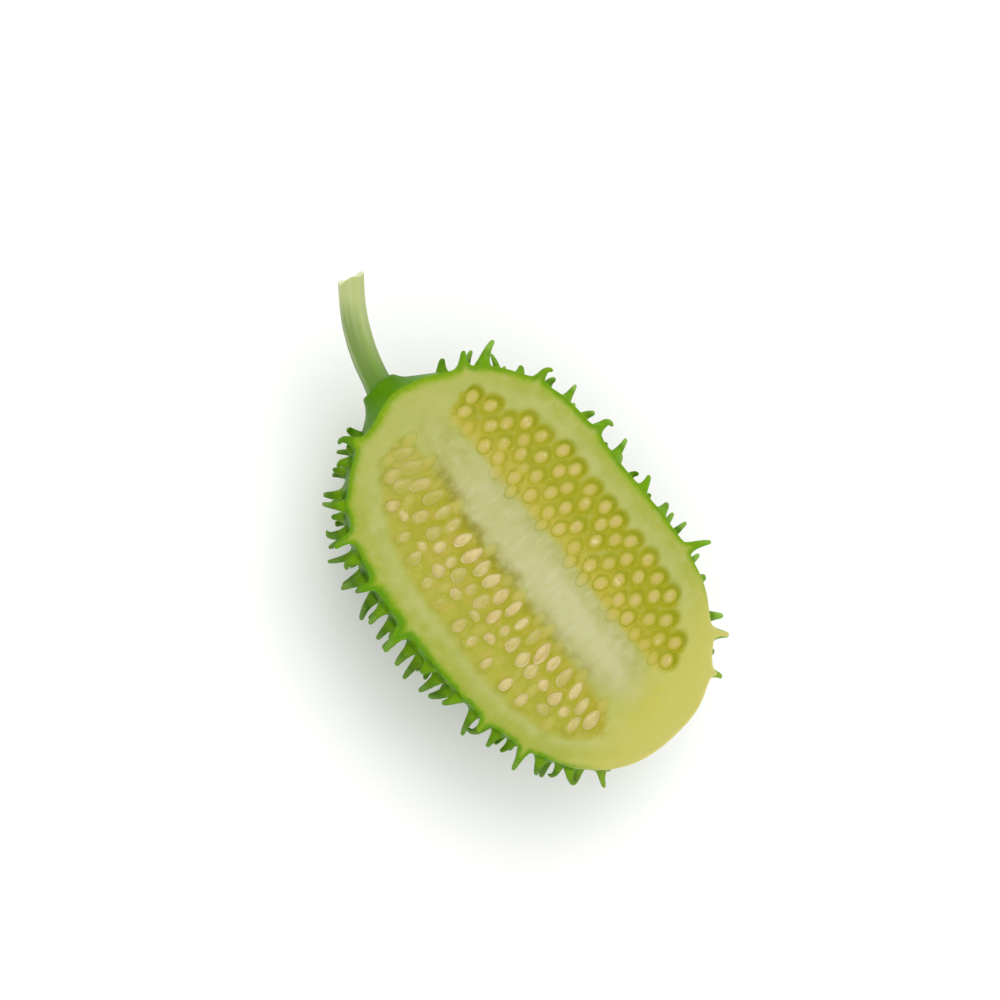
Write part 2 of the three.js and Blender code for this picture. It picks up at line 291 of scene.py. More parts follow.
class Wire:
    """A socket's output. Arithmetic on it adds Math nodes."""

    def __init__(self, shader, socket):
        self.shader = shader
        self.socket = socket

    def __add__(self, other):
        return self.shader.maths("ADD", self, other)

    def __sub__(self, other):
        return self.shader.maths("SUBTRACT", self, other)

    def __rsub__(self, other):
        return self.shader.maths("SUBTRACT", other, self)

    def __mul__(self, other):
        return self.shader.maths("MULTIPLY", self, other)

    __radd__ = __add__
    __rmul__ = __mul__

    def ramp(self, start, end):
        """0 up to one value and 1 from the other on, smooth in between. Either may be the larger."""
        return self.shader.node(
            "ShaderNodeMapRange",
            {"interpolation_type": "SMOOTHSTEP"},
            {"Value": self, "From Min": start, "From Max": end},
        )


class Shader:
    """A material's node tree."""

    def __init__(self, name):
        self.material = bpy.data.materials.new(name)
        self.material.use_nodes = True
        self.tree = self.material.node_tree
        self.tree.nodes.clear()

    def node(self, kind, settings=None, sockets=None, output=0):
        """Add a node, with its settings first and then its sockets, and give back one output."""
        made = self.tree.nodes.new(kind)
        for name, value in (settings or {}).items():
            setattr(made, name, value)
        for name, value in (sockets or {}).items():
            if isinstance(value, Wire):
                self.tree.links.new(value.socket, made.inputs[name])
            else:
                made.inputs[name].default_value = value
        return Wire(self, made.outputs[output]) if made.outputs else None

    def maths(self, operation, *values):
        return self.node("ShaderNodeMath", {"operation": operation}, dict(enumerate(values)))

    def attribute(self, name):
        return self.node("ShaderNodeAttribute", {"attribute_name": name}, output="Fac")

    def position(self):
        return self.node("ShaderNodeTexCoord", output="Object")

    def part(self, vector, axis):
        return self.node("ShaderNodeSeparateXYZ", None, {0: vector}, output=axis)

    def from_middle(self, axis):
        """Place along the X or Y axis from the middle of the cut, in millimetres."""
        return self.part(self.position(), axis) * (1 / MM) - MIDDLE["XY".index(axis)] / MM

    def noise(self, size, detail=3.0, place=None, squeeze=(1, 1, 1)):
        """Cloudy noise from 0 to 1, about `size` metres from blob to blob."""
        sockets = {0: place or self.position(), 1: squeeze}
        place = self.node("ShaderNodeVectorMath", {"operation": "MULTIPLY"}, sockets)
        sockets = {"Vector": place, "Scale": 1 / size, "Detail": detail}
        return self.node("ShaderNodeTexNoise", {"noise_dimensions": "3D"}, sockets)

    def mix(self, factor, first, second):
        """A colour from first, at factor 0, to second, at factor 1."""
        sockets = {"Factor": factor}
        for index, colour in ((6, first), (7, second)):
            sockets[index] = colour if isinstance(colour, Wire) else (*colour, 1)
        return self.node("ShaderNodeMix", {"data_type": "RGBA"}, sockets, output=2)

    def layers(self, colour, *coats):
        """Lay coats over a colour, one after the other. Each is a mask and its own colour."""
        for mask, coat in coats:
            colour = self.mix(mask, colour, coat)
        return colour

    def bump(self, height, depth):
        return self.node(
            "ShaderNodeBump", None, {"Height": height, "Distance": depth, "Strength": 1.0}
        )

    def surface(self, sockets):
        """Close the tree with one Principled surface."""
        shade = self.node("ShaderNodeBsdfPrincipled", {"subsurface_method": "RANDOM_WALK"}, sockets)
        self.node("ShaderNodeOutputMaterial", sockets={"Surface": shade})
        return self.material


# ---- what a user may change

class GherkinFruit(bpy.types.PropertyGroup):
    """Sizes and colours of the half fruit"""

    relief: size_field("Gel depth", "How far the gel lies below the flesh", 0.26 * MM)
    mound: size_field("Seed mounds", "Height of the seeds under the gel", 0.12 * MM)
    grain: size_field("Cut face grid", "Distance between points of the cut face", 0.25 * MM)
    peel: size_field("Peel", "Least width of the green line of the peel", 0.4 * MM)
    skin: tint("Skin", "Main green of the skin", 80, 122, 2)
    skin_pale: tint("Pale skin", "Lighter clouds in the skin", 122, 161, 36)
    skin_dark: tint("Dark skin", "Darker clouds in the skin", 40, 84, 0)
    rim: tint("Peel in the cut", "Bright green of the cut peel", 99, 140, 0)
    near: tint("Outer flesh", "Green flesh just inside the peel", 128, 156, 6)
    flesh: tint("Flesh", "Flesh further in", 157, 164, 68)
    blossom: tint("Blossom end", "Riper flesh at the blossom end", 187, 183, 92)
    core: tint("Core", "Pale core between the seed bands", 178, 176, 120)
    gel: tint("Gel", "Gel round the seeds", 162, 155, 34)
    # Dark olive of the rings round the seeds: partly the gel's own colour, partly painted shade
    shade: tint("Gel shade", "Dark rings in the gel round the seeds", 132, 138, 0)
    kernel: tint("Covered seeds", "Seeds seen through the gel", 186, 170, 98)


class GherkinSeeds(bpy.types.PropertyGroup):
    """Colours of the bare seeds"""

    coat: tint("Seed", "Cream of the seed's faces", 191, 172, 108)
    edge: tint("Seed edge", "Lighter rim round the seed", 208, 192, 142)
    film: tint("Film", "Gel that still covers some of the seeds", 166, 160, 62)
    rim: size_field("Rim", "Height of the rim round the seed", 0.1 * MM)


class GherkinStem(bpy.types.PropertyGroup):
    """Shape and colours of the stalk"""

    ridge: FloatProperty(
        name="Ridges", description="Height of the ridges as a share of the radius", default=0.1,
        min=0, max=1, subtype="FACTOR",
    )
    bark: tint("Stalk", "Pale green of the upper stalk", 172, 182, 118)
    groove: tint("Lower stalk", "Darker green near the fruit", 112, 144, 50)
    pith: tint("Torn end", "Pale pith where the stalk was torn", 206, 216, 168)


class GherkinStage(bpy.types.PropertyGroup):
    """Floor, light and camera"""

    floor: tint("Floor", "Colour of the floor", 249, 249, 248)
    distance: size_field("Camera distance", "From the camera to the cut face", 379.6 * MM)
    lens: FloatProperty(name="Lens", description="Focal length", default=85, unit="CAMERA")


# ---- body and spines

def outline(turn):
    """Half outline of the body, from 0 to 1: distance from the axis, and place along it."""
    angle = pi * turn
    away = RADIUS * sin(angle) ** (2 / FULLNESS) if turn < 1 else 0
    return away, -HALF_LENGTH * copysign(abs(cos(angle)) ** (2 / FULLNESS), cos(angle))


def turned(around, away, along):
    return Vector((sin(around) * away, along, cos(around) * away))


def spine_feet():
    """A golden-angle spiral with the same area of skin to each foot."""
    walk_steps = 4000
    feet = []
    skin = 0
    before = outline(0)
    for step in range(1, walk_steps + 1):
        here = outline(step / walk_steps)
        skin += pi * (before[0] + here[0]) * hypot(here[0] - before[0], here[1] - before[1])
        if skin > (len(feet) + 0.5) * SKIN_PER_SPINE:
            feet.append((step / walk_steps, len(feet) * GOLDEN_ANGLE))
        before = here
    return feet


def plan_spine(index, turn, around):
    """Where a spine stands and how it grows, in the frame of the long axis."""
    probe = 0.004
    (x1, y1), (x0, y0) = outline(turn + probe), outline(turn - probe)
    stride = hypot(x1 - x0, y1 - y0)
    walk = ((x1 - x0) / stride, (y1 - y0) / stride)
    shift = [(scatter(index, feature) - 0.5) * SPINE_JITTER for feature in (1, 2)]
    x, y = outline(turn)
    away, along = x + walk[0] * shift[0], y + walk[1] * shift[0]
    around += shift[1] / away
    bare = BARE_NECK if turn < 0.5 else BARE_BLOSSOM
    growth = ease(away, bare, bare + FULL_GROWN)
    outward = turned(around, walk[1], -walk[0])
    forward = turned(around, walk[0], walk[1])
    lean = 2 * pi * scatter(index, 6)
    foot = turned(around, away, along)
    return {
        "foot": foot,
        "grown": away >= bare and (AXIS @ foot).z <= CUT_HEIGHT,
        "bare": away < bare,
        "outward": outward,
        "lean": forward * cos(lean) - forward.cross(outward) * sin(lean),
        "length": lerp(*SPINE_LENGTH, scatter(index, 3)) * lerp(LEAST_GROWN, 1, growth),
        "width": lerp(*SPINE_WIDTH, scatter(index, 4)) * lerp(LEAST_GROWN, 1, growth),
        "tilt": lerp(*SPINE_BEND, scatter(index, 5)),
        "hook": ease(scatter(index, 7), *HOOKED),
    }


def on_skin(point):
    """The point of the skin, neck and all, that a ray from the middle through `point` meets."""
    away = hypot(point.x, point.z) / RADIUS
    along = abs(point.y) / HALF_LENGTH
    skin = point * (away ** FULLNESS + along ** FULLNESS) ** (-1 / FULLNESS)
    from_neck = hypot(skin.x + NECK_ACROSS, skin.z + NECK_DOWN)
    if skin.y < 0 and from_neck < NECK_ROOT:
        share = max(from_neck - NECK_TIP, 0) / (NECK_ROOT - NECK_TIP)
        skin.y = min(skin.y, lerp(NECK_END, -HALF_LENGTH, share ** (1 / NECK_FLARE)))
    return skin


def side_shift(x, y):
    """How far the skin is moved across, so that the two ends of the +Y side differ."""
    shift = 0
    for side, way in ((SHOULDER, -1), (BLOSSOM_SIDE, 1)):
        across = ease(y - MIDDLE.y, *side["across"])
        along = ease(way * (x - MIDDLE.x), *side["along"])
        shift += side["push"] * across * along
    return shift


def neck_rings():
    """Extra points round the neck, so that its flare has enough faces."""
    for row, away in enumerate(NECK_RINGS):
        for side in range(NECK_SIDES):
            angle = 2 * pi * (side + 0.5 * (row % 2)) / NECK_SIDES
            at = (away * MM * sin(angle) - NECK_ACROSS, away * MM * cos(angle) - NECK_DOWN)
            yield Vector((at[0], -HALF_LENGTH, at[1]))


def spine_rings(spine):
    """Middle, heading and radius of each ring. The tip curls over on a hooked spine."""
    steps_a_ring = 4
    at = spine["foot"] + spine["outward"] * FOOT_FLARE * 0.5
    before = 0
    rings = []
    for share, girth in SPINE_RINGS:
        for step in range(steps_a_ring):
            here = lerp(before, share, (step + 0.5) / steps_a_ring)
            angle = spine["tilt"] * (0.2 + 1.5 * here)
            angle += spine["hook"] * ease(here, 0.5, 1) * HOOK_TURN
            heading = spine["outward"] * cos(angle) + spine["lean"] * sin(angle)
            at = at + heading * (spine["length"] * (share - before) / steps_a_ring)
        before = share
        rings.append((at.copy(), heading, spine["width"] * girth * RING_GIRTH))
    return rings


def spiny_body():
    """The whole fruit before the cut: skin, neck and the spines of the lower half."""
    spines = [plan_spine(i, *foot) for i, foot in enumerate(spine_feet())]
    bm = bmesh.new()

    def point_at(place):
        """A vertex on the plain ellipsoid, where every point is a corner of the hull."""
        away = hypot(place.x, place.z) / RADIUS
        bm.verts.new(place / hypot(away, place.y / HALF_LENGTH))

    grown = [spine for spine in spines if spine["grown"]]
    for spine in grown:
        spine["foot"] = on_skin(spine["foot"])
    feet = tree_of([spine["foot"] for spine in grown])
    for spine in spines:
        if not spine["bare"] or spine["foot"].y > 0:
            point_at(spine["foot"])
    for place in neck_rings():
        if feet.find(on_skin(place))[2] > FOOT_CLEARANCE:
            point_at(place)
    bmesh.ops.convex_hull(bm, input=bm.verts[:])
    bmesh.ops.subdivide_edges(bm, edges=bm.edges[:], cuts=1, use_grid_fill=True)
    for vert in bm.verts:
        vert.co = on_skin(vert.co)
    roots = [vert for vert in bm.verts if feet.find(vert.co)[2] < FOOT_MATCH]

    bmesh.ops.bevel(
        bm, geom=roots, offset=FOOT_BEVEL, offset_type="OFFSET", affect="VERTICES",
        segments=1, profile=0.5, material=-1, clamp_overlap=False,
    )
    grow_spines(bm, grown, feet)
    for vert in bm.verts:
        bump = noise.noise(vert.co / LUMP_SIZE) * LUMP_HEIGHT
        vert.co += vert.co.normalized() * bump
    bmesh.ops.transform(bm, matrix=AXIS, verts=bm.verts[:])
    for vert in bm.verts:
        vert.co.y += side_shift(vert.co.x, vert.co.y)
    close(bm)
    return bm


def grow_spines(bm, spines, feet):
    """Draw each bevelled foot out into a bent, blunt spine."""
    for spine in spines:
        spine["rings"] = spine_rings(spine)
    owner = bm.faces.layers.int.new("spine")
    tips = []
    nearest = {}
    for face in bm.faces:
        face[owner] = -1
        if len(face.verts) < 5:
            continue
        index, distance = feet.find(face.calc_center_median())[1:]
        if distance < FOOT_REACH and distance < nearest.get(index, (1, None))[0]:
            nearest[index] = (distance, face)
    for index, (_, face) in nearest.items():
        face[owner] = index
        tips.append(face)
        spine = spines[index]
        for vert in face.verts:
            across = vert.co - spine["foot"]
            vert.co = spine["foot"] + across.normalized() * spine["width"] * FOOT_GIRTH
            vert.co += spine["outward"] * FOOT_FLARE
    for ring in range(len(SPINE_RINGS)):
        tips = bmesh.ops.extrude_discrete_faces(bm, faces=tips)["faces"]
        for face in tips:
            middle, heading, girth = spines[face[owner]]["rings"][ring]
            centre = face.calc_center_median()
            for vert in face.verts:
                across = vert.co - centre
                across -= heading * across.dot(heading)
                vert.co = middle + across.normalized() * girth


# ---- cut face

def band_at(band, x):
    """Middle line and half width of a seed band, at x from the middle of the band."""
    from_middle = x + band["shift"]
    bow = band["curve"] * abs(from_middle / HALF_LENGTH) ** 3
    taper = sqrt(max(1 - abs(x / BAND_HALF_LENGTH) ** BAND_BLUNTNESS, 0))
    middle = band["side"] * (band["centre"] - bow + band["slope"] * from_middle)
    return middle, band["width"] * taper


def in_band(band, x, outwards):
    """A place in a seed band, so far outwards from its middle line, and the half width there."""
    middle, half = band_at(band, x)
    return MIDDLE.xy + Vector((band["shift"] + x, middle + band["side"] * outwards)), half


def apart(one, other):
    """Whether two seeds, taken as upright ovals, keep their distance."""
    gap = one["at"] - other["at"]
    across = 2 * gap.x / (one["width"] + other["width"])
    along = 2 * gap.y / (one["length"] + other["length"])
    return hypot(across, along) > SEED_SPACE


def bare_seeds():
    """Place and size of each bare seed: its pointed end is towards the core."""
    seeds = []
    index = 0
    for row in BARE_ROWS:
        pitch = 2 * row["reach"] / row["count"]
        width, length = row["size"]
        along, across = row["stray"]
        for i in range(row["count"]):
            index += 1
            x = MM * (-row["reach"] + pitch * (i + 0.5) + along * (scatter(index, 11) - 0.5))
            outwards = row["inside"] * MM - copysign(band_at(BARE_BAND, x)[1], row["inside"])
            outwards += across * MM * (scatter(index, 12) - 0.5)
            at, half = in_band(BARE_BAND, x, outwards)
            lean = lerp(*BARE_LEAN, (x / BAND_HALF_LENGTH + 1) / 2)
            seed = {
                "at": at,
                "length": length * MM * lerp(*SEED_LENGTHS, scatter(index, 13)),
                "width": width * MM * lerp(*SEED_WIDTHS, scatter(index, 14)),
                "lean": radians(lean + LEAN_STRAY * (scatter(index, 15) - 0.5)),
            }
            room = half - abs(outwards) > SEED_EDGE * seed["length"]
            if room and all(apart(seed, other) for other in seeds):
                seeds.append(seed)
    return seeds


def covered_seeds():
    """Place and size of each seed that shows through the unbroken gel."""
    seeds = []
    per_row = floor(2 * BAND_HALF_LENGTH / COVERED_SEED_PITCH)
    for row in range(COVERED_ROWS):
        for i in range(per_row):
            index = row * per_row + i
            stray = [COVERED_STRAY * (scatter(index, feature) - 0.5) for feature in (21, 22)]
            stagger = 0.25 if row % 2 else -0.25
            x = COVERED_SEED_PITCH * (i - (per_row - 1) / 2 + stagger) + stray[0]
            outwards = COVERED_ROW_PITCH * (row - (COVERED_ROWS - 1) / 2) + stray[1]
            at, half = in_band(COVERED_BAND, x, outwards)
            if abs(outwards) + MOUND.x <= half:
                seeds.append({
                    "at": at,
                    "length": 2 * MOUND.y,
                    "width": 2 * MOUND.x,
                    "lean": radians(2 * LEAN_STRAY * (scatter(index, 23) - 0.5)),
                })
    return seeds


def faint_seeds(seeds):
    """Seeds deeper in the gel, in the gaps that the others leave."""
    kept = [seed["at"] for seed in seeds]
    faint = []
    for index in range(FAINT_TRIES):
        covered = index % 2 == 1
        band = COVERED_BAND if covered else BARE_BAND
        x = BAND_HALF_LENGTH * (2 * scatter(index, 41) - 1) * 0.95
        half = band_at(band, x)[1]
        outermost = 0.1 * half if covered else -0.75 * half
        at, _ = in_band(band, x, -lerp(half + 0.6 * MM, outermost, scatter(index, 42)))
        if min((at - other).length for other in kept) > FAINT_SPACE:
            kept.append(at)
            faint.append({
                "at": at,
                "length": lerp(*FAINT_LENGTH, scatter(index, 43)) * MM * (1 if covered else 1.15),
                "width": lerp(*FAINT_WIDTH, scatter(index, 44)) * MM,
                "lean": radians(LEAN_STRAY) * lerp(-1, 1, scatter(index, 45)),
                "faint": lerp(*FAINTNESS, scatter(index, 46)) - (0 if covered else 0.15),
            })
    return faint


class CutFace:
    """What lies where in the cut face."""

    def __init__(self):
        bare = bare_seeds()
        shown = bare + covered_seeds()
        for index, seed in enumerate(shown):
            seed["faint"] = 0.4 * scatter(index, 47) ** 2
        self.seeds = shown + faint_seeds(shown)
        for index, seed in enumerate(self.seeds):
            seed["bare"] = index < len(bare)
        self.places = tree_of([(*seed["at"], 0) for seed in self.seeds])

    def nearest_seed(self, x, y):
        """(gap to the nearest seed's edge, below 0 inside it; share of the way outwards; seed)."""
        best = (3 * MM, 0, None)
        for _, index, _ in self.places.find_n((x, y, 0), 4):
            seed = self.seeds[index]
            across = Vector((x, y)) - seed["at"]
            side = across.x * cos(seed["lean"]) + across.y * sin(seed["lean"])
            up = -across.x * sin(seed["lean"]) + across.y * cos(seed["lean"])
            reach = hypot(2 * side / seed["width"], 2 * up / seed["length"])
            gap = (reach - 1) * (seed["width"] + seed["length"]) / 4
            if gap < best[0]:
                outwards = copysign(across.y, across.y * (seed["at"].y - MIDDLE.y))
                best = (gap, outwards / max(across.length, 0.01 * MM), seed)
        return best

    def gel(self, x, y):
        """Depth inside the nearer seed band's edge, below 0 outside it."""
        band = BARE_BAND if y < MIDDLE.y + 0.6 * MM else COVERED_BAND
        along = x - MIDDLE.x - band["shift"]
        middle, half = band_at(band, along)
        return min(half - abs(y - MIDDLE.y - middle), BAND_HALF_LENGTH - abs(along))

    def core(self, x, y):
        """Depth inside the pale core between the two bands, below 0 outside it."""
        gaps = []
        for band in (BARE_BAND, COVERED_BAND):
            middle, _ = band_at(band, x - MIDDLE.x - band["shift"])
            gaps.append(band["side"] * (middle - (y - MIDDLE.y)) - band["width"])
        return min(gaps)


def cut_height(cut_face, x, y, look):
    """Height of the cut face: gel a little below the flesh, seed mounds standing in it."""
    gap, _, seed = cut_face.nearest_seed(x, y)
    gel = ease(cut_face.gel(x, y) / MM, *GEL_SLOPE)
    spot = Vector((x, y, 0)) / MM
    height = -look.relief * gel * lerp(0.75, 1.25, noise.noise(spot / 3) * 0.5 + 0.5)
    if seed and seed["bare"]:
        height -= POCKET_DEPTH * (1 - ease(gap / MM, *POCKET_SLOPE))
    elif seed:
        swell = 1 - ease(gap / MM, *MOUND_SLOPE)
        height += look.mound * swell * (1 - seed["faint"])
    fibre = noise.noise(Vector((spot.x / 0.7, spot.y / 4, 3)))
    core = ease(cut_face.core(x, y) / MM, -1, 2)
    rough = CUT_GRAIN * noise.noise(spot / 1.6) + CUT_FIBRE * fibre * core
    height += MM * (rough + CUT_WAVE * noise.noise(spot / 7))
    return CUT_HEIGHT + height


def knife_block(cut_face, look, materials):
    """The space below the knife. Its top carries the relief of the cut face."""
    low, high = (Vector(corner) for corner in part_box("fruit_half"))
    size = (high - low).xy + 2 * KNIFE_MARGIN
    middle = (high + low).xy / 2
    bm = bmesh.new()
    bmesh.ops.create_grid(
        bm,
        x_segments=round(size.x / look.grain),
        y_segments=round(size.y / look.grain),
        size=0.5,
        matrix=Matrix.Translation((*middle, CUT_HEIGHT)) @ Matrix.Diagonal((*size, 1, 1)),
    )
    for vert in bm.verts:
        vert.co.z = cut_height(cut_face, vert.co.x, vert.co.y, look)
    top = bm.faces[:]
    rim = [edge for edge in bm.edges if edge.is_boundary]
    for item in bmesh.ops.extrude_edge_only(bm, edges=rim)["geom"]:
        if isinstance(item, bmesh.types.BMVert):
            item.co.z = 0
    bottom = [edge for edge in bm.edges if edge.is_boundary]
    bmesh.ops.holes_fill(bm, edges=bottom, sides=0)
    for face in top:
        face.material_index = 1
    close(bm)
    return new_object("knife", bm, materials)


def mark_fruit(piece, cut_face):
    """Give the skin and the cut face the numbers that their materials read."""
    mesh = piece.data
    bm = bmesh.new()
    bm.from_mesh(mesh)
    bmesh.ops.remove_doubles(bm, verts=bm.verts[:], dist=WELD)
    bmesh.ops.dissolve_degenerate(bm, dist=SLIVER, edges=bm.edges[:])
    for face in bm.faces:
        face.smooth = True
    rim = set()
    for edge in bm.edges:
        if len({face.material_index for face in edge.link_faces}) == 2:
            edge.smooth = False
            rim.update(edge.verts)
    peel = tree_of([vert.co for vert in rim])
    to_axis = AXIS.inverted()
    rows = []
    for vert in bm.verts:
        x, y, z = vert.co
        gap, outwards, seed = cut_face.nearest_seed(x, y)
        plain = y  # where the point was before side_shift, found step by step
        for _ in range(3):
            plain = y - side_shift(x, plain)
        spot = to_axis @ Vector((x, plain, z))
        rows.append((
            peel.find(vert.co)[2] / MM,
            gap / MM,
            gap / MM / lerp(0.4, 1.2, ease(outwards, -0.3, 1)),
            seed["faint"] if seed else 1,
            cut_face.gel(x, y) / MM,
            cut_face.core(x, y) / MM,
            (spot.length - on_skin(spot).length) / MM,
        ))
    bm.to_mesh(mesh)
    bm.free()
    names = ("rim", "seed", "ring", "faint", "gel", "core", "rise")
    for name, values in zip(names, zip(*rows)):
        store(mesh, name, values)


class FleshMap:
    """What several layers of the cut flesh share: places in millimetres, noises and masks."""

    def __init__(self, shader):
        self.x = shader.from_middle("X")
        self.y = shader.from_middle("Y")
        self.cloud = shader.noise(6 * MM, detail=4)
        self.patch = shader.noise(2.4 * MM)
        self.fine = shader.noise(1.1 * MM, detail=4)
        self.speckle = shader.noise(0.35 * MM, detail=2)
        self.fingers = shader.noise(1.6 * MM, squeeze=(1, 0.45, 1))
        self.threads = shader.noise(1.3 * MM, squeeze=(1, 0.35, 1))
        self.covered = self.y.ramp(-1, 1)
        self.far_side = self.y.ramp(-6, 8)
        self.neck = self.x.ramp(-29, -37)
        self.stalk_end = self.x.ramp(-23, -33)
        self.blossom = (self.x + 0.2 * self.y + 5 * self.cloud).ramp(21, 36)
        self.thick_near = (1 - self.far_side) * self.x.ramp(-23, -14) * self.x.ramp(2, -9)
        self.rim = shader.attribute("rim") + 0.7 * self.fine - 0.35
        self.core = shader.attribute("core") + 2.2 * self.fingers + 1.2 * self.cloud - 1.7
        self.seed = shader.attribute("seed") + 0.16 * self.fine - 0.08
        self.ring = shader.attribute("ring")
        self.shown = 1 - shader.attribute("faint")
        self.depth = shader.attribute("gel") + 1.4 * self.cloud + 0.8 * self.fine - 1.1
        beside_seed = self.seed.ramp(1.9, 0.7)
        self.warm = self.patch.ramp(0.5, 0.36) * beside_seed
        self.wet = self.depth.ramp(-1.4, 0.8) * (1 - self.covered * (1 - beside_seed))


def flesh_layer(shader, at, look):
    """Green just inside the peel, paler further in, and riper at the blossom end."""
    near = shader.mix(at.far_side * 0.7, look.near, paint(134, 166, 0))
    inward = at.rim - 0.4 * at.neck - 0.45 * at.thick_near + 0.5 * at.x.ramp(0, 20)
    inner = (at.rim + 3 * at.cloud).ramp(3.2, 5.6)
    warm_middle = at.blossom * at.cloud.ramp(0.56, 0.4) * at.rim.ramp(3, 8)
    cool_inside = at.blossom * at.cloud.ramp(0.5, 0.62) * at.rim.ramp(5, 9)
    pale_edge = at.blossom * (at.rim + 2 * at.cloud).ramp(4.4, 1)
    return shader.layers(
        near,
        (inward.ramp(0.2, 1.8), look.flesh),
        (inner * 0.85, paint(169, 173, 96)),
        (at.patch.ramp(0.5, 0.7) * 0.3, paint(180, 182, 118)),
        (at.patch.ramp(0.5, 0.32) * 0.25, paint(138, 152, 52)),
        (at.stalk_end * at.rim.ramp(0.6, 2) * 0.7, paint(169, 172, 94)),
        (at.blossom * 0.92, look.blossom),
        (warm_middle * 0.7, paint(188, 178, 64)),
        (cool_inside * 0.55, paint(168, 176, 74)),
        (pale_edge * 0.8, paint(188, 182, 98)),
        (at.blossom * at.rim.ramp(0.6, 0) * 0.5, paint(200, 194, 138)),
    )


def core_layer(shader, colour, at, look):
    """The pale core with its fibres. It fades towards both ends."""
    ends = (at.x + 3 * at.fine).ramp(-34, -20) * (at.x - 3 * at.fine).ramp(28, 17)
    pale = shader.mix(at.x.ramp(-26, -12), paint(174, 175, 110), look.core)
    heart = at.core.ramp(1.6, 4.2) * 0.5 * at.x.ramp(-14, 8)
    pale = shader.mix(heart, pale, paint(193, 192, 150))
    inside = at.core.ramp(-0.4, 2) * ends
    gaps = (0.5 * at.threads + 0.5 * at.patch).ramp(0.52, 0.34)
    veil = at.core.ramp(-2.4, -0.4) * at.core.ramp(4, 1.4)
    veil = veil * (0.6 * at.fingers + 0.4 * at.patch).ramp(0.4, 0.6) * at.x.ramp(27, 22)
    return shader.layers(
        colour,
        ((at.core + 0.6 * at.covered).ramp(-1.4, 1.4) * ends * 0.95, pale),
        (at.threads.ramp(0.48, 0.72) * inside * 0.24, paint(198, 200, 166)),
        (gaps * inside * 0.2, paint(156, 164, 92)),
        (veil * at.covered * 0.42, paint(150, 153, 62)),
    )


def gel_layer(shader, colour, at, look):
    """Gel of the two seed bands, and the brown smudge between the bare one and the core."""
    bare = shader.layers(
        shader.mix(at.y.ramp(-15, -7), paint(163, 163, 54), look.gel),
        (at.patch.ramp(0.45, 0.62) * 0.3, paint(148, 140, 24)),
        (at.x.ramp(-18, -30), paint(164, 163, 70)),
        (at.warm * 0.5, paint(184, 160, 78)),
    )
    under_film = shader.mix(at.core.ramp(-6, -1.5), paint(152, 149, 4), paint(174, 161, 48))
    smudge = at.core.ramp(-2, -0.2) * at.core.ramp(3.2, 0.4) * (1 - at.covered)
    smudge = smudge * at.x.ramp(-28, -20)
    smudge = smudge * (1 - 0.45 * at.x.ramp(-2, 4)) * at.x.ramp(24, 16)
    smudge = smudge * (0.6 * at.patch + 0.3 * at.fingers + 0.1 * at.fine).ramp(0.38, 0.6)
    return shader.layers(
        colour,
        (at.wet * 0.95, shader.mix(at.covered, bare, under_film)),
        (smudge * 0.82, paint(134, 128, 30)),
    )


def seeds_in_gel_layer(shader, colour, at, look):
    """Seeds under the gel, each in a dark olive ring that is wider outwards: partly the gel's own
    colour, partly painted shade.
    """
    # Dark olive rings: partly the gel's own colour, partly painted shade round the seeds
    olive_ring_and_shade = at.ring.ramp(1.3, 0.3) * at.seed.ramp(-0.15, 0.3)
    olive_ring_and_shade = olive_ring_and_shade * (0.55 + 0.8 * at.fine) * (0.4 + 0.6 * at.covered + 0.4 * at.stalk_end)
    olive_ring_and_shade = olive_ring_and_shade * (1 - 0.4 * at.depth.ramp(0.8, 3.2))
    body = at.seed.ramp(0.34, -0.2)
    through_gel = shader.mix(at.covered, paint(170, 167, 68), paint(182, 169, 68))
    heart = at.seed.ramp(0.08, -0.7)
    kernel = shader.layers(
        look.kernel,
        (at.stalk_end * 0.8, paint(172, 166, 78)),
        ((1 - at.covered) * 0.7, paint(176, 168, 80)),
    )
    # Painted highlight: small whitish sparkles on the kernels
    painted_sparkle = heart * at.shown * at.fine.ramp(0.56, 0.68) * at.covered
    return shader.layers(
        colour,
        (olive_ring_and_shade * (0.1 + 0.9 * at.shown), look.shade),
        (body * (0.05 + 0.6 * at.shown), through_gel),
        (heart * (0.02 + 0.98 * at.shown), kernel),
        (painted_sparkle * 0.55, paint(222, 212, 158)),
    )


def peel_layer(shader, colour, at, look):
    """Cut peel, wider in the stalk's half, brighter on the covered side and at the stalk."""
    thick_far = at.far_side * at.x.ramp(22, -4)
    least = look.peel / MM - 0.8
    width = 0.4 * thick_far + 0.45 * at.thick_near - 0.2 * at.far_side + 1.2 * at.patch + least
    line = (at.rim - width).ramp(0.8, -0.35)
    tone = shader.mix(at.far_side, paint(86, 136, 0), look.rim)
    tone = shader.mix(at.neck * 0.8, tone, paint(112, 148, 0))
    return shader.mix(line * (1 - at.blossom), colour, tone)


def flesh_material(look):
    shader = Shader("cut flesh")
    at = FleshMap(shader)
    colour = flesh_layer(shader, at, look)
    for layer in (core_layer, gel_layer, seeds_in_gel_layer, peel_layer):
        colour = layer(shader, colour, at, look)
    glint = at.speckle.ramp(0.68, 0.74) * at.depth.ramp(-0.5, 1)
    return shader.surface({
        "Base Color": shader.mix(glint * 0.6, colour, paint(226, 220, 168)),
        "Roughness": 0.46 - 0.12 * at.wet - 0.1 * at.fine,
        "Coat Weight": at.wet * 0.08 + glint * 0.4,
        "Coat Roughness": 0.14,
        "Subsurface Weight": 0.3,
        "Subsurface Radius": (1.2, 1.0, 0.35),
        "Subsurface Scale": 0.8 * MM,
        "Specular IOR Level": 0.3,
        "IOR": 1.25,
        "Normal": shader.bump(at.fine * 0.6 + at.speckle * 0.4, 0.08 * MM),
    })


